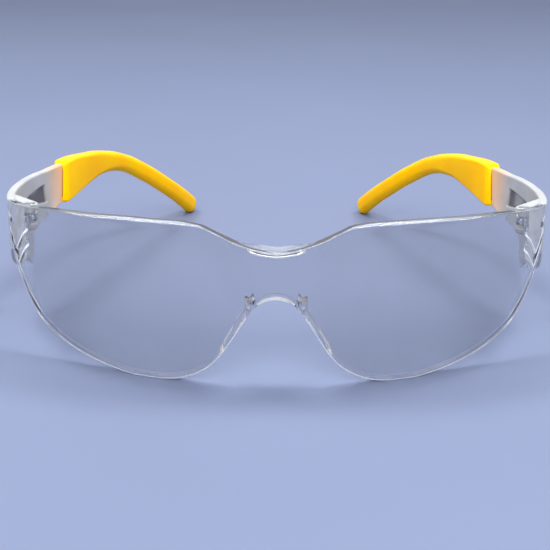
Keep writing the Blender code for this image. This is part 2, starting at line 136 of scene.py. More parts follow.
GRIP_MOUTH = (  # rings behind the mouth: how far, how far inside the arm's outline, thickness
    (0.0, 0.3, 2.9), (0.12, 0.12, 3.2), (1.3, -0.42, 4.62), (1.8, -GRIP_STAND, GRIP_THICK),
)
GRIP_BODY, GRIP_SPLIT = 2.2, 90  # where the grip's even part starts, and its rings
GRIP_TIP, TIP_TURNS, TIP_FLAT = 3.0, (0, 1.5, 9), 0.8  # its rounded end
GRIP_ROUND, GRIP_ROUND_REACH = (0.75, 2.35), (6.0, 40.0)  # at its mouth and along its tail
SOCKET_ROUND = 0.8
FIT_GAP = 0.3
JOINT_LEAN, JOINT_MIDDLE = 0.42, 31.5  # how the joint of arm and grip leans, and round where
JOINT_LEAN_IN, JOINT_LEAN_OUT = (68.5, 75.0), (79.5, 93.0)
PAINTED_GLOW_SPAN = (-0.011, -0.0015)  # where the clear arm gets a painted glow, standing for its sleeve's orange light, in the frame

TEMPLE_LINE = (
    (30.0, 66.6), (37.5, 69.0), (44.5, 70.7), (50.5, 71.2), (57.0, 70.8), (63.0, 69.7),
    (69.0, 67.7), (76.0, 65.2), (90.0, 61.4), (100.0, 58.4), (110.0, 54.9), (120.0, 50.5),
    (130.0, 44.6), (140.0, 39.0), (151.0, 34.2), (159.0, 31.4),
)
ARM_TOP = ((37.0, 37.6), (50.0, 37.4), (65.0, 37.3), (77.0, 36.9))
ARM_FOOT = (
    (37.0, 23.8), (40.5, 21.2), (43.5, 18.4), (47.5, 16.2), (51.5, 15.0), (54.9, 15.0),
    (56.8, 15.9), (57.6, 17.6), (58.1, 20.4), (60.0, 22.3), (65.0, 23.4), (71.5, 24.8),
    (77.0, 26.2),
)
TAIL_LINE = (
    (70.0, 31.4), (76.5, 31.6), (88.0, 32.1), (98.0, 32.0), (108.0, 30.7), (118.0, 27.6),
    (128.0, 21.6), (138.0, 14.4), (148.0, 7.4), (159.0, -0.6),
)
TAIL_WIDTH = (
    (70.0, 10.6), (76.5, 10.6), (88.0, 9.2), (98.0, 7.2), (108.0, 5.7), (118.0, 4.9),
    (138.0, 5.0), (158.0, 5.6),
)
POCKET, POCKET_DEPTH = ((56.0, 32.3), (60.6, 29.0), (68.0, 28.0), (67.4, 33.6)), 0.7
POCKET_TOOL = 3.0  # how far the tool that cuts the pocket stands out of the arm
POCKET_NEAR, POCKET_RIM = (54.0, 70.0), (-0.25, 0.35)  # where the pocket is tinted
POCKET_TINT_IN, POCKET_TINT_OUT = (0.1, 0.45), (1.1, 1.5)

# ---- surfaces ------------------------------------------------------------------------------
PLASTIC_IOR = 1.585
CLOUD, GRAIN, SCUFF = (0.35, 0.65), (0.3, 0.7), (0.45, 0.8)  # ranges of the noises
LENS_COLOURS = (0.79, 0.785, 0.785), (0.83, 0.825, 0.825)
SOLE_COLOURS = (0.94, 0.95, 0.96), (1.0, 1.0, 1.0)
BEVEL_COLOURS = (0.86, 0.87, 0.87), (0.97, 0.98, 0.98)
FROST_COLOURS = (0.90, 0.90, 0.90), (0.97, 0.97, 0.96)
ARM_COLOURS = (0.51, 0.51, 0.505), (0.58, 0.58, 0.57)
# The first colour is a painted glow: the sleeve's orange light shown in the clear arm.
PAINTED_GLOW_COLOUR, POCKET_COLOUR = (1.0, 0.56, 0.26), (0.12, 0.11, 0.12)
GRIP_COLOURS = (1.0, 0.46, 0.0005), (1.0, 0.53, 0.001)
SCREW_COLOURS = (0.50, 0.50, 0.52), (0.66, 0.66, 0.67)


# ---- curves --------------------------------------------------------------------------------
def smooth(points, at):
    """Read a smooth curve through the points, which never overshoots between two of them."""
    last = len(points) - 1
    at = min(max(at, points[0][0]), points[last][0])
    k = max(i for i in range(last) if points[i][0] <= at)

    def rise(i):
        return (points[i + 1][1] - points[i][1]) / (points[i + 1][0] - points[i][0])

    def slope(i):
        if i == 0:
            return 0.0
        if i == last:
            return rise(last - 1)
        left, right = rise(i - 1), rise(i)
        return 0.0 if left * right <= 0 else 2 * left * right / (left + right)

    width = points[k + 1][0] - points[k][0]
    t = (at - points[k][0]) / width
    return (
        points[k][1] * (1 + 2 * t) * (1 - t) ** 2
        + slope(k) * width * t * (1 - t) ** 2
        + points[k + 1][1] * t * t * (3 - 2 * t)
        + slope(k + 1) * width * t * t * (t - 1)
    )


def fade(value, start, end):
    """Go smoothly from 0 at start to 1 at end."""
    t = min(max((value - start) / (end - start), 0.0), 1.0)
    return t * t * (3 - 2 * t)


def mix(a, b, share):
    """Go straight from a to b as the share goes from 0 to 1."""
    return a + (b - a) * share


def steps(start, end, count):
    return [start + (end - start) * i / count for i in range(count + 1)]


def place(point):
    """Turn millimetres into the frame's metres."""
    x, y, z = point
    return x * MM, (y - CENTRE_Y) * MM, z * MM


# ---- meshes --------------------------------------------------------------------------------
def finish_mesh(bm, name, sharp=SHARP):
    """Turn a bmesh into a smooth object with its edges kept sharp."""
    bmesh.ops.recalc_face_normals(bm, faces=bm.faces)
    mesh = bpy.data.meshes.new(name)
    bm.to_mesh(mesh)
    bm.free()
    mesh.shade_smooth()
    mesh.set_sharp_from_angle(angle=math.radians(sharp))
    item = bpy.data.objects.new(name, mesh)
    bpy.context.scene.collection.objects.link(item)
    return item


def loft(name, rings, sharp=SHARP, paint=None):
    """A closed solid through rings of points in millimetres, with its two ends capped.

    paint gives the material slot of the face between two rings, from their number and the
    number of the point that it starts at.
    """
    bm = bmesh.new()
    loops = [[bm.verts.new(place(point)) for point in ring] for ring in rings]
    count = len(loops[0])
    for k, (near, far) in enumerate(zip(loops, loops[1:])):
        for i in range(count):
            j = (i + 1) % count
            face = bm.faces.new((near[i], near[j], far[j], far[i]))
            if paint:
                face.material_index = paint(k, i)
    bm.faces.new(loops[0])
    bm.faces.new(loops[-1])
    return finish_mesh(bm, name, sharp)


def combine(target, tool, operation):
    """Join a tool solid to the target, or cut it out of it, and delete the tool."""
    modifier = target.modifiers.new("combine", "BOOLEAN")
    modifier.operation = operation
    modifier.solver = "EXACT"
    modifier.object = tool
    bake_modifiers(target)
    bpy.data.objects.remove(tool)


def bake_modifiers(item):
    """Replace the object's mesh with what its modifiers make of it."""
    graph = bpy.context.evaluated_depsgraph_get()
    made = bpy.data.meshes.new_from_object(item.evaluated_get(graph))
    item.modifiers.clear()
    old, item.data = item.data, made
    bpy.data.meshes.remove(old)


def soften(item, voxel, rounds):
    """Melt a solid's seams together, as a moulding has them."""
    remesh = item.modifiers.new("remesh", "REMESH")
    remesh.mode = "VOXEL"
    remesh.voxel_size = voxel * MM
    relax = item.modifiers.new("relax", "SMOOTH")
    relax.factor = 0.5
    relax.iterations = rounds
    bake_modifiers(item)
    item.data.shade_smooth()


def circle(x, y, radius, z, count=CIRCLE_POINTS):
    turns = [2 * math.pi * i / count for i in range(count)]
    return [(x + radius * math.cos(a), y + radius * math.sin(a), z) for a in turns]


def bar(side, radius, low, high):
    """A round bar on a hinge's axis."""
    return loft("tool", [circle(side * HINGE_X, HINGE_Y, radius, z) for z in (low, high)])


def knuckle(side, foot, low, high, edge=KNUCKLE_EDGE):
    """A knuckle round a hinge's axis, with a web that runs to the two points of its foot."""
    rings = []
    for z, inset in ((low, edge), (low + edge, 0.0), (high - edge, 0.0), (high, edge)):
        ring = [(x, y) for x, y, _ in circle(HINGE_X, HINGE_Y, KNUCKLE_R - inset, z)]
        outline = spread(hull(ring + list(foot)), KNUCKLE_POINTS)
        rings.append([(side * x, y, z) for x, y in outline])
    return loft("tool", rings)


def spread(outline, count):
    """The same number of points round any closed outline, evenly spaced."""
    closed = outline + outline[:1]
    lengths = [0.0]
    for a, b in zip(closed, closed[1:]):
        lengths.append(lengths[-1] + math.dist(a, b))
    points = []
    for i in range(count):
        at = lengths[-1] * i / count
        k = min(bisect.bisect_right(lengths, at) - 1, len(outline) - 1)
        t = (at - lengths[k]) / (lengths[k + 1] - lengths[k])
        points.append(tuple(mix(p, q, t) for p, q in zip(closed[k], closed[k + 1])))
    return points


def hull(points):
    """The convex outline round a set of points in plan."""
    ordered = sorted(points)

    def turn(a, b, c):
        return (b[0] - a[0]) * (c[1] - a[1]) - (b[1] - a[1]) * (c[0] - a[0])

    def half(sequence):
        kept = []
        for point in sequence:
            while len(kept) > 1 and turn(kept[-2], kept[-1], point) <= 0:
                kept.pop()
            kept.append(point)
        return kept[:-1]

    return half(ordered) + half(ordered[::-1])


# ---- lens ----------------------------------------------------------------------------------
def wall_table(count=2000):
    """Distances round the ellipse from its front, at even turns."""
    distances = [0.0]
    turn = math.pi / 2 / count
    for i in range(count):
        angle = (i + 0.5) * turn
        pace = math.hypot(HALF_WIDTH * math.cos(angle), WRAP_DEPTH * math.sin(angle))
        distances.append(distances[-1] + pace * turn)
    return distances


DISTANCES = wall_table()


def column(distance):
    """Where the wall stands in plan at a distance round it, with its outward direction."""
    far = abs(distance)
    k = bisect.bisect_right(DISTANCES, far) - 1
    part = (far - DISTANCES[k]) / (DISTANCES[k + 1] - DISTANCES[k])
    angle = math.copysign((k + part) * math.pi / 2 / (len(DISTANCES) - 1), distance)
    nx, ny = WRAP_DEPTH * math.sin(angle), -HALF_WIDTH * math.cos(angle)
    size = math.hypot(nx, ny)
    x, y = HALF_WIDTH * math.sin(angle), WRAP_DEPTH * (1 - math.cos(angle))
    tuck = CORNER_TUCK * fade(far, CORNER_START, LENS_END)
    return x, y, nx / size, ny / size, tuck


def wall_point(base, height, depth):
    """A point at a column of the wall; depth is measured inward from the outer face."""
    x, y, nx, ny, tuck = base
    drop = (LENS_HEIGHT - height) / LENS_HEIGHT
    inward = LENS_LEAN * drop - 4 * LENS_BULGE * drop * (1 - drop) + depth + tuck
    return x - inward * nx, y - inward * ny, height


def front_heights(far, low, high):
    """Row heights of the outer face, some of which follow the V ridges."""
    offset = min(abs(far - CHEVRON_CENTRE), CHEVRON_HALF)
    anchors = [low]
    for tip in CHEVRON_TIPS:
        base = tip + offset
        anchors += [base + part for part in (0.0, CHEVRON_LIP, CHEVRON_FLAT, CHEVRON_RAMP)]
    anchors.append(high)
    total, done = sum(FRONT_SPLIT), 0
    even = [low]
    for count in FRONT_SPLIT:
        done += count
        even.append(mix(low, high, done / total))
    share = fade(far, *FRONT_TURN)
    anchors = [mix(a, b, share) for a, b in zip(even, anchors)]
    for i in range(len(anchors) - 2, 0, -1):
        anchors[i] = min(anchors[i], anchors[i + 1] - ROW_LEAST)
    rows = [low]
    for a, b, count in zip(anchors, anchors[1:], FRONT_SPLIT):
        rows += steps(a, b, count)[1:]
    return rows


def ridge(far, height):
    """How far the V ridges stand proud of the wall."""
    offset = abs(far - CHEVRON_CENTRE)
    if offset >= CHEVRON_HALF:
        return 0.0
    profile = 0.0
    for tip in CHEVRON_TIPS:
        up = height - tip - offset
        if 0 <= up <= CHEVRON_RAMP:
            rise = min(up / CHEVRON_LIP, (CHEVRON_RAMP - up) / (CHEVRON_RAMP - CHEVRON_FLAT), 1.0)
            profile = max(profile, rise)
    runout = fade(offset, CHEVRON_HALF - RIDGE_RUNOUT, CHEVRON_HALF)
    return CHEVRON_RISE * profile * (1 - runout)


def front_depth(far, height):
    """How far the outer face lies behind the wall, with its crease and its ridges."""
    crease = smooth(CREASE, height)
    panel = CREASE_RISE * fade(far, crease - CREASE_SOFTNESS, crease + CREASE_SOFTNESS)
    return panel - ridge(far, height)


def corner(before, at, after, reach, count=ROUND_STEPS):
    """Points that round a corner of a section."""
    def toward(goal):
        length = math.dist(at, goal)
        t = min(reach, CORNER_SHARE * length) / length
        return mix(at[0], goal[0], t), mix(at[1], goal[1], t)

    start, end = toward(before), toward(after)
    points = []
    for t in steps(0, 1, count):
        a, b, c = (1 - t) ** 2, 2 * t * (1 - t), t * t
        points.append(tuple(a * p + b * q + c * r for p, q, r in zip(start, at, end)))
    return points


def between(start, end, count):
    """The points that split the way between two others into equal parts."""
    shares = [i / count for i in range(1, count)]
    return [(mix(start[0], end[0], t), mix(start[1], end[1], t)) for t in shares]


def shifted(point, depth, height):
    """A point beside another one of the same section."""
    return point[0] + depth, point[1] + height


def named(points, name, last=None):
    """Points of a section, each with the name of the face that starts at it."""
    names = [name] * (len(points) - 1) + [last or name]
    return list(zip(points, names))


def foot_slope(far, step=0.1):
    """How steeply the lower edge climbs at a distance round the wall."""
    if far <= step:
        return 0.0
    return (smooth(LENS_FOOT, far + step) - smooth(LENS_FOOT, far - step)) / (2 * step)


def pad_points(far, foot, back):
    """The root, lip and toe of a nose pad, which lie on the inner face beyond the pad."""
    low, high = PAD_SPAN
    steep = math.hypot(1.0, foot_slope(far))
    part = min(max((far - low) / (high - low), 0), 1)
    pad = fade(far, low + PAD_IN[0], low + PAD_IN[1])
    pad *= 1 - fade(far, high + PAD_OUT[0], high + PAD_OUT[1])
    reach = mix(back, mix(*PAD_DEPTH, part), pad)
    thick = mix(FOOT_THICK, PAD_THICK * steep, pad)
    splay = PAD_SPLAY * steep * (reach - back)
    root = (back, foot + thick + FOOT_SLACK * (1 - pad))
    return root, (reach, foot + thick + splay), (reach, foot + splay)


def front_points(far, foot, top, inset):
    """The outer face, and the foot and the top of the bevel above it."""
    bevel = mix(BEVEL_LEAST, 1.0, fade(far, *BEVEL_START) - fade(far, *BEVEL_END))
    drop = BEVEL_DROP * bevel
    heights = front_heights(far, foot + EDGE_ROUND, top - drop - BEVEL_CLEAR)
    front = [(front_depth(far, z) + inset, z) for z in heights]
    bevel_foot = (front[-1][0], top - drop)
    return front, bevel_foot, (front[-1][0] + BEVEL_DEPTH * bevel, top)


def inner_points(top_back, back, root, lip, toe):
    """The inner face, from the ledge under the top edge down to the edge of the pad."""
    ledge = shifted(top_back, 0, -LEDGE_HEIGHT)
    base = (back, ledge[1] - LEDGE_FILLET)
    points = corner(top_back, ledge, base, LEDGE_ROUND)
    bend = corner(ledge, base, shifted(base, 0, -STUB), EDGE_ROUND)
    points += between(points[-1], bend[0], RIM_ROWS) + bend
    points += between(points[-1], shifted(root, 0, ROOT_CLEAR), BACK_ROWS)
    points += corner(shifted(root, 0, STUB), root, lip, ROOT_ROUND)
    points += between(points[-1], lip, FOOT_ROWS)
    return points + corner(root, lip, toe, EDGE_ROUND)


def lens_section(distance, inset):
    """The lens's section at a distance round the wall, drawn in by inset.

    It climbs the outer face, crosses the bevel and the top edge, comes down the inner face and
    its pad, and returns along the lower edge.
    """
    far = abs(distance)
    top, foot = smooth(LENS_TOP, far) - inset, smooth(LENS_FOOT, far) + inset
    front, bevel_foot, bevel_top = front_points(far, foot, top, inset)
    rim = mix(BROW_DEPTH, LENS_THICK, fade(far, *BROW_REACH))
    back, top_back = CREASE_RISE + LENS_THICK - inset, (CREASE_RISE + rim - inset, top)
    root, lip, toe = pad_points(far, foot, back)
    heel = (front[0][0], foot)

    rise = corner(toe, heel, shifted(heel, 0, STUB), EDGE_ROUND)
    bend = corner(shifted(bevel_foot, 0, -STUB), bevel_foot, bevel_top, BEVEL_ROUND, BEND_STEPS)
    crest = corner(bevel_foot, bevel_top, top_back, BEVEL_ROUND, BEND_STEPS)
    brim = corner(shifted(top_back, -STUB, 0), top_back, shifted(top_back, 0, -STUB), TOP_ROUND)
    tip = corner(lip, toe, heel, EDGE_ROUND)
    sole = between(tip[-1], shifted(heel, EDGE_ROUND, 0), FOOT_ROWS)

    section = named(rise[:3], "heel") + named(rise[3:5], "edge")
    section += named(rise[5:] + front[1:-1] + bend, "front", "bevel")
    section += named(between(bend[-1], crest[0], RIM_ROWS) + crest, "bevel", "front")
    flat = between(crest[-1], shifted(top_back, -TOP_CLEAR, 0), RIM_ROWS)
    section += named(flat + brim, "front")
    section += named(inner_points(top_back, back, root, lip, toe), "back")
    section += named(tip + sole[:1], "lip") + named(sole[1:4], "sole") + named(sole[4:], "heel")
    base_column = column(distance)
    ring = [wall_point(base_column, z, depth) for (depth, z), _ in section]
    return ring, [name for _, name in section]


def lens_distances():
    """Distances round the wall for the lens's sections, with how far each is drawn in."""
    rows = [(0.0, 0.0)]
    for start, end, count in WALL_SPLIT:
        rows += [(far, 0.0) for far in steps(start, end, count)[1:]]
    for turn in steps(0, math.pi / 2, ROUND_STEPS)[1:]:
        far = LENS_END - EDGE_ROUND * (1 - math.sin(turn))
        rows.append((far, EDGE_ROUND * (1 - math.cos(turn))))
    return [(-far, inset) for far, inset in rows[:0:-1]] + rows


def lens_slot(name, far, height):
    """The material slot of a face, from its place in the section, on the wall and in height."""
    above = height - min(abs(far - CHEVRON_CENTRE), CHEVRON_HALF)
    in_ridge = any(0 < above - tip < MATT_RIDGE for tip in CHEVRON_TIPS)
    matt = {
        "edge": far > MATT_START,
        "heel": far < ARCH_END or far > MATT_START,
        "lip": far < ARCH_END or MATT_START < far < PAD_SPAN[1],
        "sole": far < ARCH_END or MATT_FULL < far < MATT_END,
        "front": far > RIDGE_START and in_ridge,
    }
    if matt.get(name):
        return SOLE_SLOT
    if name == "bevel":
        return BEVEL_SLOT
    frosted = name == "back" and far > FROST_START and above > CHEVRON_TIPS[0]
    return FROST_SLOT if frosted else CLEAR_SLOT


def build_lens(materials):
    rows = lens_distances()
    sections = [lens_section(far, inset) for far, inset in rows]

    def paint(k, i):
        ring, names = sections[k]
        return lens_slot(names[i], abs(rows[k][0] + rows[k + 1][0]) / 2, ring[i][2])

    lens = loft("lens_shield", [ring for ring, _ in sections], LENS_SHARP, paint)
    for material in materials:
        lens.data.materials.append(material)
    for side, _ in SIDES:
        combine(lens, knuckle(side, LUG_FOOT, *LUG_Z), "UNION")
        combine(lens, bar(side, BORE_R, LUG_Z[0] - OVERCUT, LUG_Z[1] + OVERCUT), "DIFFERENCE")
    lens.data.shade_smooth()
    lens.data.set_sharp_from_angle(angle=math.radians(LENS_SHARP))
    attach(lens, "lens")
    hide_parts("lens")
    return lens


# ---- temples -------------------------------------------------------------------------------
def lean_back(item):
    """Tip the joint between an arm and its sleeve back at the top."""
    for vertex in item.data.vertices:
        y, z = vertex.co.y / MM + CENTRE_Y, vertex.co.z / MM
        share = fade(y, *JOINT_LEAN_IN) * (1 - fade(y, *JOINT_LEAN_OUT))
        vertex.co.y += JOINT_LEAN * (z - JOINT_MIDDLE) * share * MM


def frame_at(y, middle):
    """The point of a temple's middle line at y, with its up and sideways directions."""
    near, far = y - SLOPE_STEP, y + SLOPE_STEP
    dx = smooth(TEMPLE_LINE, far) - smooth(TEMPLE_LINE, near)
    dz = smooth(middle, far) - smooth(middle, near)
    run = math.hypot(dx, 2 * SLOPE_STEP)
    length = math.hypot(run, dz)
    side = (2 * SLOPE_STEP / run, -dx / run, 0.0)
    lean = dz / length
    up = (-lean * dx / run, -lean * 2 * SLOPE_STEP / run, run / length)
    return (smooth(TEMPLE_LINE, y), y, smooth(middle, y)), up, side


def rounded_section(across, thick, radius, count):
    """A rectangle with rounded corners, as (up, sideways) from its middle."""
    radius = min(radius, SIDE_SHARE * thick, SIDE_SHARE * across)
    points = []
    for k, (sx, sz) in enumerate(((1, 1), (-1, 1), (-1, -1), (1, -1))):
        for i in range(count + 1):
            angle = math.pi / 2 * (k + i / count)
            sideways = sx * (thick / 2 - radius) + radius * math.cos(angle)
            upward = sz * (across / 2 - radius) + radius * math.sin(angle)
            points.append((upward, sideways))
    return points


def ring_at(side, y, middle, across, thick, radius, count=7):
    """A rounded section of a temple, square to its middle line."""
    (x0, y0, z0), up, sideways = frame_at(y, middle)
    ring = []
    for a, b in rounded_section(across, thick, radius, count):
        x, y1, z = (p + a * u + b * s for p, u, s in zip((x0, y0, z0), up, sideways))
        ring.append((side * x, y1, z))
    return ring


def arm_ring(side, y, thick=ARM_THICK):
    """A section of the arm's plate, which stays upright."""
    top, foot = smooth(ARM_TOP, y), smooth(ARM_FOOT, y)
    level = ((y - 1, (top + foot) / 2), (y + 1, (top + foot) / 2))
    return ring_at(side, y, level, top - foot, thick, ARM_ROUND)


def covered_ring(side, y, trim, thick, radius):
    """A section of the temple's tail, trimmed on both sides."""
    return ring_at(side, y, TAIL_LINE, smooth(TAIL_WIDTH, y) - 2 * trim, thick, radius)


def tongue_rings(side, gap, end):
    """The tongue's sections, or its socket's when a gap is left round it."""
    return [
        covered_ring(side, y, TONGUE_INSET - gap, TONGUE_THICK + 2 * gap, ARM_ROUND + gap)
        for y in steps(SHOULDER, end, TONGUE_SPLIT)
    ]


def pocket_tool(side):
    rings = []
    for depth in (POCKET_DEPTH - ARM_THICK / 2, -ARM_THICK / 2 - POCKET_TOOL):
        rings.append([(side * (smooth(TEMPLE_LINE, y) + depth), y, z) for y, z in POCKET])
    return loft("tool", rings)


def in_pocket(y, z):
    """How far a point of the side view lies inside the pocket's outline, from 0 to 1."""
    inside = []
    for (ya, za), (yb, zb) in zip(POCKET, POCKET[1:] + POCKET[:1]):
        length = math.hypot(yb - ya, zb - za)
        inside.append(((yb - ya) * (z - za) - (zb - za) * (y - ya)) / length)
    return fade(min(inside), *POCKET_RIM)


def arm_rings(side):
    """The arm's rings: its rounded front, its plate, and the tongue that runs inside the grip."""
    rings, nose = [], ARM_THICK / 2
    for turn in steps(*NOSE_TURNS)[:-1]:
        y = ARM_START + nose * (1 - math.cos(turn))
        rings.append(arm_ring(side, y, ARM_THICK * math.sin(turn)))
    stops = (ARM_START + nose, *LOBE_BACK, SHOULDER)
    plate = [stops[0]]
    for start, end, count in zip(stops, stops[1:], ARM_SPLIT):
        plate += steps(start, end, count)[1:]
    return rings + [arm_ring(side, y) for y in plate] + tongue_rings(side, 0.0, TONGUE_END)


def build_arm(side, hand):
    arm = loft(f"clear_arm_{hand}", arm_rings(side))
    for low, high in EAR_Z:
        combine(arm, knuckle(side, EAR_FOOT, low, high), "UNION")
    low, high = EAR_Z[0][0] - OVERCUT, EAR_Z[1][1] + OVERCUT
    combine(arm, bar(side, BORE_R, low, high), "DIFFERENCE")
    combine(arm, bar(side, SEAT_R, EAR_Z[1][1] - SEAT_DEPTH, high), "DIFFERENCE")
    combine(arm, pocket_tool(side), "DIFFERENCE")
    soften(arm, ARM_VOXEL, ARM_RELAX)
    lean_back(arm)
    shade = arm.data.attributes.new("pocket", "FLOAT", "POINT")
    shade.data.foreach_set("value", [pocket_share(side, v.co) for v in arm.data.vertices])
    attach(arm, f"temple_{hand}")
    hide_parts(f"temple_{hand}")
    return arm


def pocket_share(side, co):
    """1 on the pocket's floor and walls, and 0 outside it."""
    x, y, z = side * co.x / MM, co.y / MM + CENTRE_Y, co.z / MM
    if not POCKET_NEAR[0] < y < POCKET_NEAR[1]:
        return 0.0
    depth = x - (smooth(TEMPLE_LINE, y) - ARM_THICK / 2)
    return in_pocket(y, z) * fade(depth, *POCKET_TINT_IN) * (1 - fade(depth, *POCKET_TINT_OUT))


def grip_round(y):
    """The grip's corners are tight at its mouth and turn into a full round along its tail."""
    start, end = (GRIP_START + reach for reach in GRIP_ROUND_REACH)
    return mix(*GRIP_ROUND, fade(y, start, end))


def grip_rings(side):
    """The grip's rings, from the bottom of its socket out over its mouth and on to its tip."""
    rings = tongue_rings(side, FIT_GAP, TONGUE_END + FIT_GAP)[:0:-1]
    trim, thick = TONGUE_INSET - FIT_GAP, TONGUE_THICK + 2 * FIT_GAP
    rings.append(covered_ring(side, GRIP_START, trim, thick, SOCKET_ROUND))
    for back, trim, thick in GRIP_MOUTH:
        rings.append(covered_ring(side, GRIP_START + back, trim, thick, grip_round(GRIP_START)))
    for y in steps(GRIP_START + GRIP_BODY, GRIP_END - GRIP_TIP, GRIP_SPLIT):
        rings.append(covered_ring(side, y, -GRIP_STAND, GRIP_THICK, grip_round(y)))
    for turn in steps(*TIP_TURNS)[1:]:
        y = GRIP_END - GRIP_TIP + GRIP_TIP * math.sin(turn)
        shrink = math.cos(turn)
        trim = (smooth(TAIL_WIDTH, y) / 2 + GRIP_STAND) * (1 - shrink) * TIP_FLAT - GRIP_STAND
        rings.append(covered_ring(side, y, trim, GRIP_THICK * shrink, GRIP_ROUND[1] * shrink))
    return [[(x, y, max(z, 0.0)) for x, y, z in ring] for ring in rings]


def build_grip(side, hand):
    grip = loft(f"grip_sleeve_{hand}", grip_rings(side), GRIP_SHARP)
    lean_back(grip)
    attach(grip, f"temple_{hand}")
    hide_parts(f"temple_grip_{hand}")
    return grip


def screw_levels(foot, neck, top):
    """Heights and radii up the screw: its tapered foot, its shank and its rounded head."""
    levels = [(foot, SCREW_R - SCREW_TAPER), (foot + SCREW_TIP, SCREW_R), (neck, SCREW_R)]
    levels.append((neck, SCREW_HEAD_R))
    for turn in steps(0, HEAD_TURN, ROUND_STEPS):
        radius = SCREW_HEAD_R - HEAD_ROUND * (1 - math.cos(turn))
        levels.append((top - HEAD_ROUND + HEAD_ROUND * math.sin(turn), radius))
    return levels


def build_screw(side, hand):
    top = EAR_Z[1][1] - SEAT_DEPTH + FIT_GAP + SCREW_HEAD_H
    levels = screw_levels(EAR_Z[0][0] + SCREW_FOOT, top - SCREW_HEAD_H, top)
    x, y, half = side * HINGE_X, HINGE_Y, SLOT_WIDTH / 2
    screw = loft(f"screw_{hand}", [circle(x, y, radius, z) for z, radius in levels])
    west, east = x - SLOT_REACH, x + SLOT_REACH
    corners = ((west, y - half), (east, y - half), (east, y + half), (west, y + half))
    heights = (top - SLOT_DEPTH, top + OVERCUT)
    slot = loft("tool", [[(cx, cy, z) for cx, cy in corners] for z in heights])
    combine(screw, slot, "DIFFERENCE")
    screw.data.set_sharp_from_angle(angle=math.radians(SCREW_SHARP))
    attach(screw, f"temple_{hand}")
    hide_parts(f"hinge_screw_{hand}")
    return screw


# ---- materials -----------------------------------------------------------------------------
def add(tree, kind, **settings):
    made = tree.nodes.new(kind)
    for key, value in settings.items():
        setattr(made, key, value)
    return made


def noise(tree, scale, detail=3.0, stretch=(1, 1, 1)):
    """A noise that rides with its piece, with the scale counted per metre."""
    coords = add(tree, "ShaderNodeTexCoord")
    mapping = add(tree, "ShaderNodeMapping")
    mapping.inputs["Scale"].default_value = stretch
    texture = add(tree, "ShaderNodeTexNoise")
    texture.inputs["Scale"].default_value = scale
    texture.inputs["Detail"].default_value = detail
    tree.links.new(coords.outputs["Object"], mapping.inputs["Vector"])
    tree.links.new(mapping.outputs["Vector"], texture.inputs["Vector"])
    return texture.outputs["Fac"]


def remap(tree, source, low, high, to_low, to_high):
    """Carry the range from low to high over to another one, and stop at its ends."""
    made = add(tree, "ShaderNodeMapRange")
    made.inputs["From Min"].default_value = low
    made.inputs["From Max"].default_value = high
    made.inputs["To Min"].default_value = to_low
    made.inputs["To Max"].default_value = to_high
    tree.links.new(source, made.inputs["Value"])
    return made.outputs["Result"]


def blend_colours(tree, factor, first, second):
    """Mix two colours; each is a colour or another node's output."""
    made = add(tree, "ShaderNodeMix", data_type="RGBA")
    tree.links.new(factor, made.inputs["Factor"])
    for name, value in (("A", first), ("B", second)):
        socket = next(s for s in made.inputs if s.name == name and s.type == "RGBA")
        if isinstance(value, tuple):
            socket.default_value = (*value, 1.0)
        else:
            tree.links.new(value, socket)
    return next(s for s in made.outputs if s.type == "RGBA")


def clouded(tree, source, spread, colours):
    """Wander between two colours as a noise goes through its usual range."""
    return blend_colours(tree, remap(tree, source, *spread, 0.0, 1.0), *colours)


def bump(tree, height, strength, distance):
    """Fine relief; the distance is in millimetres."""
    made = add(tree, "ShaderNodeBump")
    made.inputs["Distance"].default_value = distance * MM
    made.inputs["Strength"].default_value = strength
    tree.links.new(height, made.inputs["Height"])
    return made.outputs["Normal"]


def surface(tree, shader, colour, roughness, normal):
    """Link the three things that every material's nodes make."""
    tree.links.new(colour, shader.inputs["Base Color"])
    tree.links.new(roughness, shader.inputs["Roughness"])
    tree.links.new(normal, shader.inputs["Normal"])


def start_material(name, constants):
    """A new material, with the values that its shader keeps everywhere."""
    material = bpy.data.materials.new(name)
    material.use_nodes = True
    shader = material.node_tree.nodes["Principled BSDF"]
    for key, value in constants.items():
        shader.inputs[key].default_value = value
    return material, material.node_tree, shader


def start_plastic(name, transmission):
    """A new clear or frosted plastic, which lets the given share of light through."""
    return start_material(name, {"Transmission Weight": transmission, "IOR": PLASTIC_IOR})


def axis_mask(tree, axis, low, high):
    """0 below low and 1 above high along one of the piece's own axes, in the frame's metres."""
    coords = add(tree, "ShaderNodeTexCoord")
    split = add(tree, "ShaderNodeSeparateXYZ")
    tree.links.new(coords.outputs["Object"], split.inputs["Vector"])
    return remap(tree, split.outputs[axis], low, high, 0.0, 1.0)


def lens_material():
    """Clear, with a few faint scuffs."""
    material, tree, shader = start_plastic("clear_polycarbonate", 1.0)
    colour = clouded(tree, noise(tree, 60.0, 4.0), CLOUD, LENS_COLOURS)
    scuffs = noise(tree, 420.0, 5.0, (1, 1, 0.25))
    relief = bump(tree, noise(tree, 1300.0, 2.0), 0.06, 0.05)
    surface(tree, shader, colour, remap(tree, scuffs, *SCUFF, 0.0, 0.06), relief)
    return material


def sole_material():
    """The lens's lower edge, which is left matt and catches the light."""
    material, tree, shader = start_plastic("matt_edge", 0.1)
    grain = noise(tree, 1500.0)
    colour = clouded(tree, grain, GRAIN, SOLE_COLOURS)
    roughness = remap(tree, grain, *GRAIN, 0.35, 0.55)
    surface(tree, shader, colour, roughness, bump(tree, grain, 0.2, 0.03))
    return material


def bevel_material():
    """The bevel along the lens's top edge, whose fine grain breaks its highlight up."""
    material, tree, shader = start_plastic("grained_bevel", 0.85)
    grain = noise(tree, 2600.0)
    colour = clouded(tree, grain, GRAIN, BEVEL_COLOURS)
    roughness = remap(tree, grain, *CLOUD, 0.04, 0.2)
    surface(tree, shader, colour, roughness, bump(tree, grain, 1.0, 0.14))
    return material


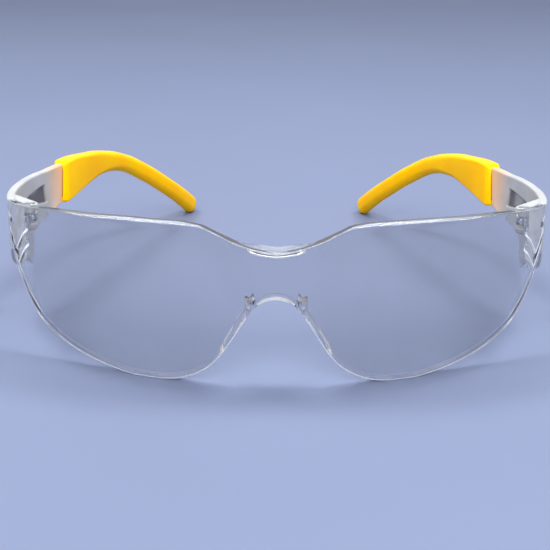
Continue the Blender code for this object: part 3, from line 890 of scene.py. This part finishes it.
def frost_material():
    """The inner face of the lens's corners, which is frosted."""
    material, tree, shader = start_plastic("frosted_corner", 0.35)
    colour = clouded(tree, noise(tree, 300.0, 4.0), CLOUD, FROST_COLOURS)
    grain = noise(tree, 2600.0)
    roughness = remap(tree, grain, *GRAIN, 0.30, 0.45)
    surface(tree, shader, colour, roughness, bump(tree, grain, 0.1, 0.03))
    return material


def arm_material():
    """Frosted plastic with a painted glow beside its sleeve, standing for the sleeve's orange
    light, and dark in its pocket.
    """
    material, tree, shader = start_plastic("frosted_polycarbonate", 0.3)
    pocket = add(tree, "ShaderNodeAttribute", attribute_name="pocket")
    clear = clouded(tree, noise(tree, 160.0, 4.0), CLOUD, ARM_COLOURS)
    # Painted glow: the arm turns orange towards its sleeve, standing for the sleeve's light
    # bleeding into it.
    painted_glow = blend_colours(tree, axis_mask(tree, "Y", *PAINTED_GLOW_SPAN), clear, PAINTED_GLOW_COLOUR)
    colour = blend_colours(tree, pocket.outputs["Fac"], painted_glow, POCKET_COLOUR)
    grain = noise(tree, 2600.0)
    roughness = remap(tree, grain, *GRAIN, 0.30, 0.36)
    surface(tree, shader, colour, roughness, bump(tree, grain, 0.03, 0.02))
    return material


def grip_material():
    """Soft yellow rubber, which glows a little from inside."""
    constants = {
        "Subsurface Weight": 0.25,
        "Subsurface Radius": (1.0, 0.5, 0.1),
        "Subsurface Scale": 0.0012,
        "IOR": 1.36,
        "Specular IOR Level": 0.03,
        "Coat Weight": 0.1,
        "Coat Roughness": 0.18,
    }
    material, tree, shader = start_material("yellow_sleeve", constants)
    colour = clouded(tree, noise(tree, 90.0, 4.0), CLOUD, GRIP_COLOURS)
    grain = noise(tree, 1900.0)
    roughness = remap(tree, grain, *GRAIN, 0.26, 0.38)
    surface(tree, shader, colour, roughness, bump(tree, grain, 0.08, 0.03))
    return material


def screw_material():
    """Steel with fine rings from its turning."""
    material, tree, shader = start_material("screw_steel", {"Metallic": 1.0})
    colour = clouded(tree, noise(tree, 900.0), CLOUD, SCREW_COLOURS)
    turned = noise(tree, 900.0, stretch=(1, 1, 12))
    roughness = remap(tree, turned, *GRAIN, 0.2, 0.4)
    surface(tree, shader, colour, roughness, bump(tree, turned, 0.2, 0.02))
    return material


# ---- studio --------------------------------------------------------------------------------
def build_camera():
    data = bpy.data.cameras.new("camera")
    data.lens, data.sensor_width = FOCAL_LENGTH, SENSOR
    data.clip_start, data.clip_end = CLIP_RANGE
    data.shift_x = CAMERA_SHIFT
    camera = bpy.data.objects.new("camera", data)
    camera.location = (0.0, -CAMERA_BACK * MM, CAMERA_UP * MM)
    camera.rotation_mode = "ZYX"
    camera.rotation_euler = (math.pi / 2 - CAMERA_PITCH, 0.0, CAMERA_ROLL)
    bpy.context.scene.collection.objects.link(camera)
    bpy.context.scene.camera = camera


def build_floor():
    bm = bmesh.new()
    bmesh.ops.create_grid(bm, x_segments=8, y_segments=8, size=FLOOR_HALF)
    floor = finish_mesh(bm, "floor")
    constants = {"Roughness": 0.75, "Specular IOR Level": 0.2}
    material, tree, shader = start_material("pale_floor", constants)
    darker = tuple(FLOOR_SHADE * c for c in FLOOR_COLOUR)
    colour = clouded(tree, noise(tree, 5.0), CLOUD, (darker, FLOOR_COLOUR))
    tree.links.new(colour, shader.inputs["Base Color"])
    floor.data.materials.append(material)


def add_light(name, location, aim, size, power):
    data = bpy.data.lights.new(name, "AREA")
    data.shape = "RECTANGLE"
    data.size, data.size_y = size
    data.energy = power
    light = bpy.data.objects.new(name, data)
    light.location = location
    dx, dy, dz = (a - b for a, b in zip(aim, location))
    light.rotation_euler = (math.atan2(math.hypot(dx, dy), -dz), 0.0, math.atan2(-dx, dy))
    bpy.context.scene.collection.objects.link(light)


def build_studio():
    scene = bpy.context.scene
    scene.view_settings.view_transform = "Standard"
    world = bpy.data.worlds.new("studio")
    world.use_nodes = True
    background = world.node_tree.nodes["Background"]
    background.inputs["Color"].default_value = (*WORLD_COLOUR, 1.0)
    background.inputs["Strength"].default_value = WORLD_STRENGTH
    scene.world = world
    for light in AREA_LIGHTS:
        add_light(*light)


def main():
    build_camera()
    build_floor()
    build_studio()
    lens_materials = [lens_material(), sole_material(), frost_material(), bevel_material()]
    arm_look, grip_look, screw_look = arm_material(), grip_material(), screw_material()
    build_lens(lens_materials)
    for side, hand in SIDES:
        build_arm(side, hand).data.materials.append(arm_look)
        build_grip(side, hand).data.materials.append(grip_look)
        build_screw(side, hand).data.materials.append(screw_look)


main()
